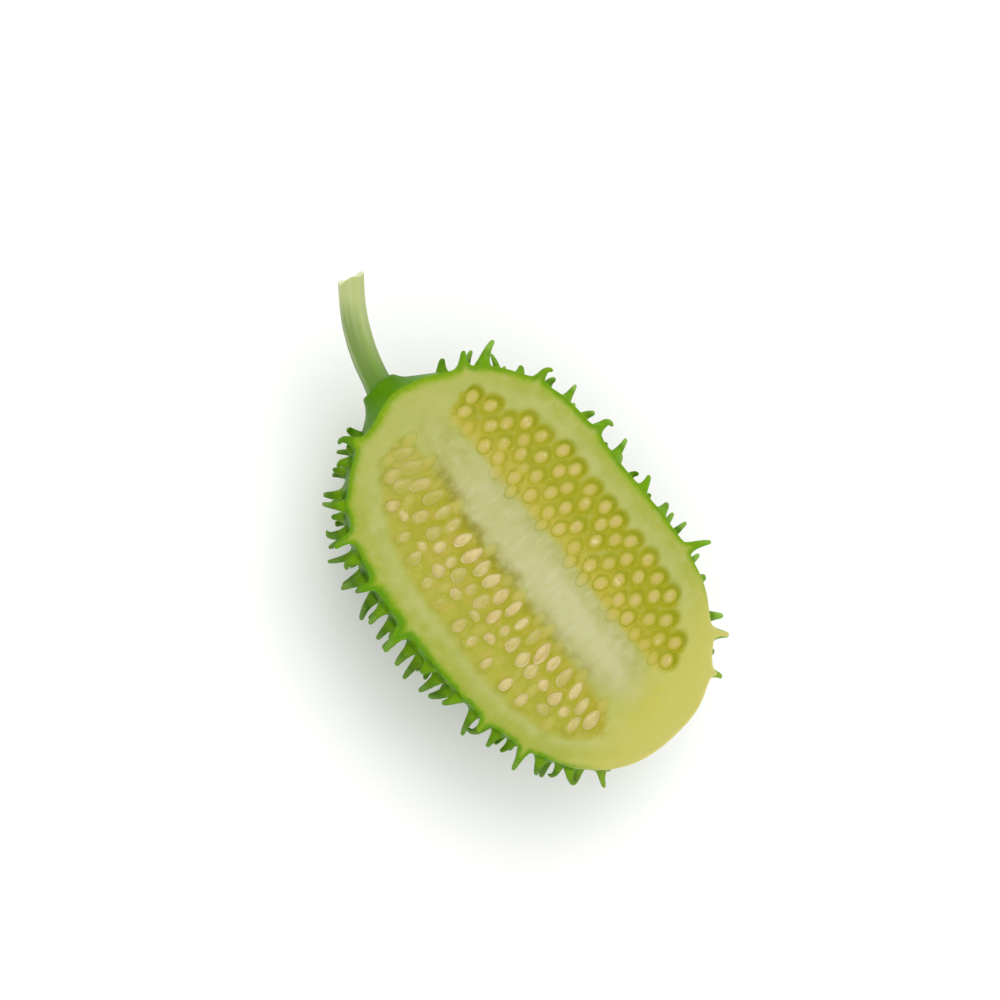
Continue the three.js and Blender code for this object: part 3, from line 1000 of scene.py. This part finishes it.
def skin_material(look):
    shader = Shader("spiny skin")
    x = shader.from_middle("X")
    y = shader.from_middle("Y")
    cloud = shader.noise(9 * MM, detail=5)
    mottle = shader.noise(2.2 * MM, detail=4)
    fine = shader.noise(0.5 * MM)
    rise = shader.attribute("rise")
    foot = rise.ramp(0.15, 0.8) * rise.ramp(3, 1.2)
    # Pale spine tips: partly the spines' own paler tips, partly painted highlight
    tip = rise.ramp(1.8, 3.6) * (0.65 + 0.35 * y.ramp(-5, 8))
    tip_and_highlight_green = shader.mix(y.ramp(-12, 2), paint(122, 148, 76), paint(142, 182, 70))
    by_cut = shader.attribute("rim").ramp(4, 0.8) * (0.35 + 0.65 * y.ramp(-10, 10))
    blossom = (x + 4 * cloud).ramp(26, 38)
    neck = x.ramp(-32, -38)
    colour = shader.layers(
        shader.mix(cloud.ramp(0.35, 0.62), look.skin_dark, look.skin),
        (mottle.ramp(0.5, 0.75) * 0.7, look.skin_pale),
        (foot * 0.6, paint(116, 160, 6)),
        (rise.ramp(1.2, 3.6) * 0.55, paint(82, 130, 8)),
        (tip * 0.7, tip_and_highlight_green),
        (by_cut * 0.8, paint(104, 150, 8)),
        (fine.ramp(0.6, 0.72) * 0.2, paint(170, 200, 120)),
        (blossom * 0.5, paint(150, 172, 66)),
        (neck * 0.8, paint(72, 122, 0)),
    )
    return shader.surface({
        "Base Color": colour,
        "Roughness": 0.44 - 0.16 * mottle,
        "Coat Weight": rise.ramp(0.4, 1.6) * 0.08,
        "Coat Roughness": 0.2,
        "Subsurface Weight": 0.15,
        "Subsurface Radius": (0.8, 1.0, 0.3),
        "Subsurface Scale": 0.8 * MM,
        "Specular IOR Level": 0.14,
        "IOR": 1.25,
        "Normal": shader.bump(fine * 0.5 + mottle * 0.5, 0.12 * MM),
    })


class GHERKIN_OT_fruit(bpy.types.Operator):
    """Build the half fruit, with its skin, spines and cut face"""

    bl_idname = "gherkin.fruit"
    bl_label = "Half fruit"

    def execute(self, context):
        look = context.scene.gherkin_fruit
        materials = [skin_material(look), flesh_material(look)]
        cut_face = CutFace()
        fruit = new_object("half_fruit", spiny_body(), materials)
        knife = knife_block(cut_face, look, materials)
        subdivision(fruit, 1)
        cut = fruit.modifiers.new("Cut", "BOOLEAN")
        cut.operation = "INTERSECT"
        cut.solver = "MANIFOLD"
        cut.object = knife
        apply_modifiers(fruit)
        bpy.data.objects.remove(knife)
        if len(fruit.data.polygons) < FEWEST_FACES:
            raise RuntimeError("the cut left no fruit")
        mark_fruit(fruit, cut_face)
        dress(fruit, "rind", "fruit_half")
        return {"FINISHED"}


# ---- seeds

def seed_material(look):
    shader = Shader("seed coat")
    fine = shader.noise(0.5 * MM, detail=4)
    cloud = shader.noise(2.5 * MM, detail=2)
    streak_and_highlight = shader.noise(0.55 * MM, squeeze=(1, 0.3, 1))
    edge = shader.attribute("edge")
    film = shader.attribute("film")
    tone = shader.attribute("tone")
    inner_line = edge.ramp(0.5, 0.64) * edge.ramp(0.78, 0.66)
    outer_line = edge.ramp(0.7, 0.82) * (1 - 0.5 * edge.ramp(0.9, 1))
    line_shown = 1 - 0.5 * edge.ramp(0.72, 0.84) * edge.ramp(1, 0.9)
    colour = shader.layers(
        look.coat,
        (cloud.ramp(0.4, 0.65) * 0.5, paint(198, 168, 112)),
        (tone * 0.5, paint(206, 190, 134)),
        (inner_line * 0.35, paint(158, 132, 62)),
        (outer_line * (0.4 + 0.8 * fine), look.edge),
        (fine.ramp(0.5, 0.7) * 0.25, paint(178, 160, 84)),
        # Lengthwise streaks: the dark ones are fibre, the pale ones partly fibre and partly painted
        # highlight
        (streak_and_highlight.ramp(0.5, 0.66) * 0.45, paint(210, 196, 138)),
        (streak_and_highlight.ramp(0.48, 0.32) * 0.4, paint(172, 148, 80)),
        # Painted highlight: small whitish sparkles on the seed
        (fine.ramp(0.6, 0.7) * 0.45, paint(226, 218, 174)),
        ((film + 1.4 * cloud - 0.7).ramp(0, 1) * line_shown, look.film),
    )
    return shader.surface({
        "Base Color": colour,
        "Roughness": 0.36 - 0.1 * fine,
        "Coat Weight": 0.15,
        "Coat Roughness": 0.15,
        "Subsurface Weight": 0.3,
        "Subsurface Radius": (1.2, 0.9, 0.4),
        "Subsurface Scale": 0.6 * MM,
        "Specular IOR Level": 0.3,
        "Normal": shader.bump(fine, 0.06 * MM),
    })


def shape_seed(bm, index, seed, thickness, rim):
    """Turn a ball of radius 1 into a flat seed with one pointed end and a raised rim."""
    wide = seed["width"] / 2 * SEED_DRAWN[0]
    long = seed["length"] / 2 * SEED_DRAWN[1]
    for vert in bm.verts:
        x, y, z = vert.co
        out = hypot(x, y)
        point = 1 - SEED_POINT[0] * y - SEED_POINT[1] * y * y
        flat = abs(z) ** 0.8 * (1 - 0.25 * ease(out, 0.55, 0.95))
        raised = rim * exp(-((out - SEED_RIM[0]) / SEED_RIM[1]) ** 2) * copysign(1, z)
        dent = 1 + SEED_DENTS * noise.noise(Vector((x * 1.3, y * 1.3, index)))
        vert.co = Vector((
            x * point * dent * wide,
            y * dent * long,
            copysign(flat, z) * thickness / 2 + raised * (abs(z) > 0.05),
        ))


def film_over(index, seed):
    """Share of a bare seed's colour that the gel hides: most at the stalk and along the edge."""
    along, across = (seed["at"] - MIDDLE.xy) / MM
    film = lerp(0.1, 0.65, scatter(index, 32) ** 1.5)
    film += 0.45 * (1 - ease(along, -26, -10))
    return film + 0.35 * ease(-across, 11, 14) * (1 - ease(along, 0, 10))


class GHERKIN_OT_seeds(bpy.types.Operator):
    """Build the bare seeds of one seed band"""

    bl_idname = "gherkin.seeds"
    bl_label = "Bare seeds"

    def execute(self, context):
        look = context.scene.gherkin_seeds
        material = seed_material(look)
        for index, seed in enumerate(bare_seeds()):
            self.build(index, seed, look, material)
        return {"FINISHED"}

    def build(self, index, seed, look, material):
        node = f"seed_{index + 1:02d}"
        low, high = (Vector(corner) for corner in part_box(node))
        bm = bmesh.new()
        bmesh.ops.create_uvsphere(bm, u_segments=20, v_segments=11, radius=1)
        edges = [hypot(vert.co.x, vert.co.y) for vert in bm.verts]
        shape_seed(bm, index, seed, high.z - low.z, look.rim)
        turn = Matrix.Rotation(seed["lean"], 4, "Z")
        tip = Matrix.Rotation(SEED_TIP[0] * (scatter(index, 31) - 0.5), 4, "Y")
        tip @= Matrix.Rotation(SEED_TIP[1] * (scatter(index, 33) - 0.5), 4, "X")
        lift = SEED_LIFT * (scatter(index, 34) - 0.5)
        place = Matrix.Translation((*seed["at"], (low.z + high.z) / 2 + lift))
        bmesh.ops.transform(bm, matrix=place @ turn @ tip, verts=bm.verts[:])
        close(bm)
        piece = new_object(f"bare_{node}", bm, [material])
        store(piece.data, "edge", edges)
        store(piece.data, "film", [film_over(index, seed)] * len(edges))
        store(piece.data, "tone", [scatter(index, 35)] * len(edges))
        dress(piece, "seed", node)


# ---- stalk

def stem_line():
    """Points along the middle of the stalk, which bends across and up."""
    strides = 7
    at = NECK_AXIS @ Vector((0, NECK_END + STEM_SOCKET_DEPTH - STEM_GAP, 0))
    points = [at.copy()]
    for i in range(strides):
        across = lerp(*STEM_ACROSS, i / (strides - 1))
        up = lerp(*STEM_UP, i / (strides - 1))
        heading = Vector((-cos(across) * cos(up), sin(across) * cos(up), sin(up)))
        at += heading * (STEM_LENGTH / strides)
        points.append(at.copy())
    return points


def along_stem(points, share):
    """Middle and heading of the stalk at a share of its length."""
    strides = [end - start for start, end in zip(points, points[1:])]
    reach = share * len(strides)
    i = min(int(reach), len(strides) - 1)
    ways = [stride.normalized() for stride in strides]
    start = (ways[i] + ways[max(i - 1, 0)]).normalized()
    end = (ways[i] + ways[min(i + 1, len(ways) - 1)]).normalized()
    middle = points[i].lerp(points[i + 1], reach - i)
    return middle, start.lerp(end, reach - i).normalized()


def place_ring(face, marks, points, share, ridge):
    """Set a face's corners on the ridged ring at a share of the stalk. Its last ring is torn."""
    middle, heading = along_stem(points, share)
    side = heading.cross(Vector((0, 0, 1))).normalized()
    over = side.cross(heading)
    taper = 1 + 0.16 * (1 - ease(share, 0, 0.14)) - 0.04 * ease(share, 0.4, 0.9)
    for k, vert in enumerate(face.verts):
        angle = 2 * pi * k / len(face.verts)
        swell = (1 + ridge * cos(STEM_RIDGES * angle)) * taper
        swell *= 1 + 0.03 * noise.noise(Vector((cos(angle), sin(angle), share * 9)))
        vert.co = middle + (side * cos(angle) + over * sin(angle)) * STEM_RADIUS * swell
        if share == STEM_TORN_AT:
            torn = TORN_SLANT * cos(angle - radians(20)) + TORN_TEETH * cos(3 * angle + 1)
            vert.co += heading * torn
        vert[marks] = (cos(angle), sin(angle), share)


def torn_end(bm, face, marks, heading):
    """Sink the pith a little below the torn edge."""
    for inset, rise in TORN_STEPS:
        face = bmesh.ops.extrude_discrete_faces(bm, faces=[face])["faces"][0]
        centre = face.calc_center_median()
        for vert in face.verts:
            vert.co -= (vert.co - centre).normalized() * inset
            vert.co += heading * rise
            vert[marks] = (*vert[marks].xy * 0.5, 1.2)
    bmesh.ops.poke(bm, faces=[face])


class GHERKIN_OT_stem(bpy.types.Operator):
    """Build the ridged stalk with its torn end"""

    bl_idname = "gherkin.stem"
    bl_label = "Stalk"

    def execute(self, context):
        look = context.scene.gherkin_stem
        points = stem_line()
        bm = bmesh.new()
        marks = bm.verts.layers.float_vector.new("place")
        bmesh.ops.create_circle(bm, cap_ends=True, segments=4 * STEM_RIDGES, radius=STEM_RADIUS)
        face = bm.faces[:][0]
        for step in range(STEM_RINGS + 1):
            if step:
                face = bmesh.ops.extrude_discrete_faces(bm, faces=[face])["faces"][0]
            place_ring(face, marks, points, step / STEM_RINGS * STEM_TORN_AT, look.ridge)
        torn_end(bm, face, marks, along_stem(points, STEM_TORN_AT)[1])
        close(bm)
        stem = new_object("stalk", bm, [stem_material(look)])
        subdivision(stem, 2)
        apply_modifiers(stem)
        dress(stem, "stalk", "stem")
        return {"FINISHED"}


def stem_material(look):
    shader = Shader("stalk bark")
    place = shader.node("ShaderNodeAttribute", {"attribute_name": "place"}, output="Vector")
    across = shader.part(place, "X")
    share = shader.part(place, "Z")
    streaks = shader.noise(0.5, place=place, squeeze=(1, 1, 0.5))
    fine = shader.noise(0.4 * MM)
    # Painted shade: one side of the lower stalk is darkened as if turned away from the light
    painted_shade_side = across.ramp(0.4, -0.5) * share.ramp(0.85, 0.55)
    colour = shader.layers(
        look.groove,
        (share.ramp(0.1, 0.9), look.bark),
        (painted_shade_side * 0.7, paint(94, 122, 50)),
        (share.ramp(0.3, 0.0), paint(84, 126, 14)),
        (streaks.ramp(0.45, 0.65) * 0.25, paint(186, 200, 140)),
        (share.ramp(0.94, 1.1), look.pith),
    )
    return shader.surface({
        "Base Color": colour,
        "Roughness": 0.5 - 0.1 * streaks,
        "Subsurface Weight": 0.15,
        "Subsurface Radius": (0.8, 1.0, 0.4),
        "Subsurface Scale": 0.7 * MM,
        "Specular IOR Level": 0.3,
        "Normal": shader.bump(streaks * 0.7 + fine * 0.3, 0.08 * MM),
    })


# ---- stage

class GHERKIN_OT_stage(bpy.types.Operator):
    """Set the pale floor, the soft light and the camera"""

    bl_idname = "gherkin.stage"
    bl_label = "Stage"

    def execute(self, context):
        scene = context.scene
        look = scene.gherkin_stage
        bm = bmesh.new()
        bmesh.ops.create_grid(bm, x_segments=1, y_segments=1, size=FLOOR_REACH)
        shader = Shader("pale floor")
        colour = shader.mix(shader.noise(0.2, detail=2) * 0.04, look.floor, paint(230, 230, 226))
        ground = shader.surface({"Base Color": colour, "Roughness": 0.9})
        floor_piece = new_object("floor", bm, [ground])
        self.light(scene)
        self.camera(scene, look)
        return {"FINISHED"}

    def light(self, scene):
        world = bpy.data.worlds.new("soft room")
        world.use_nodes = True
        background = world.node_tree.nodes["Background"].inputs
        background["Color"].default_value = (1, 1, 1, 1)
        background["Strength"].default_value = ROOM_LIGHT
        scene.world = world
        scene.view_settings.view_transform = "Standard"
        for name, (place, power) in LAMPS.items():
            lamp = bpy.data.lights.new(name, "AREA")
            lamp.energy = power
            lamp.size = LAMP_SIZE
            made = bpy.data.objects.new(name, lamp)
            made.location = place
            aim = Vector((*MIDDLE.xy, 0)) - Vector(place)
            made.rotation_euler = aim.to_track_quat("-Z", "Y").to_euler()
            scene.collection.objects.link(made)

    def camera(self, scene, look):
        """Look down on the cut face, rolled so that the fruit points down to the right."""
        toward = Vector((
            -sin(VIEW_TILT) * sin(VIEW_TURN), -sin(VIEW_TILT) * cos(VIEW_TURN), cos(VIEW_TILT)
        ))
        along = Vector((1, 0, 0)) - toward * toward.x
        along.normalize()
        across = toward.cross(along)
        right = along * cos(VIEW_ROLL) + across * sin(VIEW_ROLL)
        up = across * cos(VIEW_ROLL) - along * sin(VIEW_ROLL)
        shift_right, shift_up = (shift * SENSOR / look.lens for shift in VIEW_SHIFT)
        back = (toward + right * shift_right - up * shift_up).normalized()
        right = up.cross(back).normalized()
        up = back.cross(right)
        data = bpy.data.cameras.new("camera")
        data.lens = look.lens
        data.sensor_width = SENSOR
        data.clip_start = 0.01
        made = bpy.data.objects.new("camera", data)
        place = Vector((*MIDDLE.xy, CUT_HEIGHT)) + toward * look.distance
        turn = Matrix((right, up, back)).transposed().to_4x4()
        made.matrix_world = Matrix.Translation(place) @ turn
        scene.collection.objects.link(made)
        scene.camera = made


# ---- add-on

class GHERKIN_PT_panel(bpy.types.Panel):
    """Lists the pieces and what can be changed"""

    bl_idname = "GHERKIN_PT_panel"
    bl_label = "West Indian Gherkin"
    bl_space_type = "VIEW_3D"
    bl_region_type = "UI"
    bl_category = "Gherkin"

    def draw(self, context):
        for name in GROUPS:
            box = self.layout.box()
            look = getattr(context.scene, f"gherkin_{name}")
            for field in look.__annotations__:
                box.prop(look, field)
            box.operator(f"gherkin.{name}")


GROUPS = {
    "fruit": GherkinFruit, "seeds": GherkinSeeds, "stem": GherkinStem, "stage": GherkinStage,
}
CLASSES = (
    *GROUPS.values(), GHERKIN_OT_fruit, GHERKIN_OT_seeds, GHERKIN_OT_stem, GHERKIN_OT_stage,
    GHERKIN_PT_panel,
)


def register():
    for one in CLASSES:
        bpy.utils.register_class(one)
    for name, group in GROUPS.items():
        setattr(bpy.types.Scene, f"gherkin_{name}", PointerProperty(type=group))


def unregister():
    for name in GROUPS:
        delattr(bpy.types.Scene, f"gherkin_{name}")
    for one in reversed(CLASSES):
        bpy.utils.unregister_class(one)


def main():
    register()
    bpy.ops.gherkin.fruit()
    bpy.ops.gherkin.seeds()
    bpy.ops.gherkin.stem()
    bpy.ops.gherkin.stage()


if __name__ == "__main__":
    main()
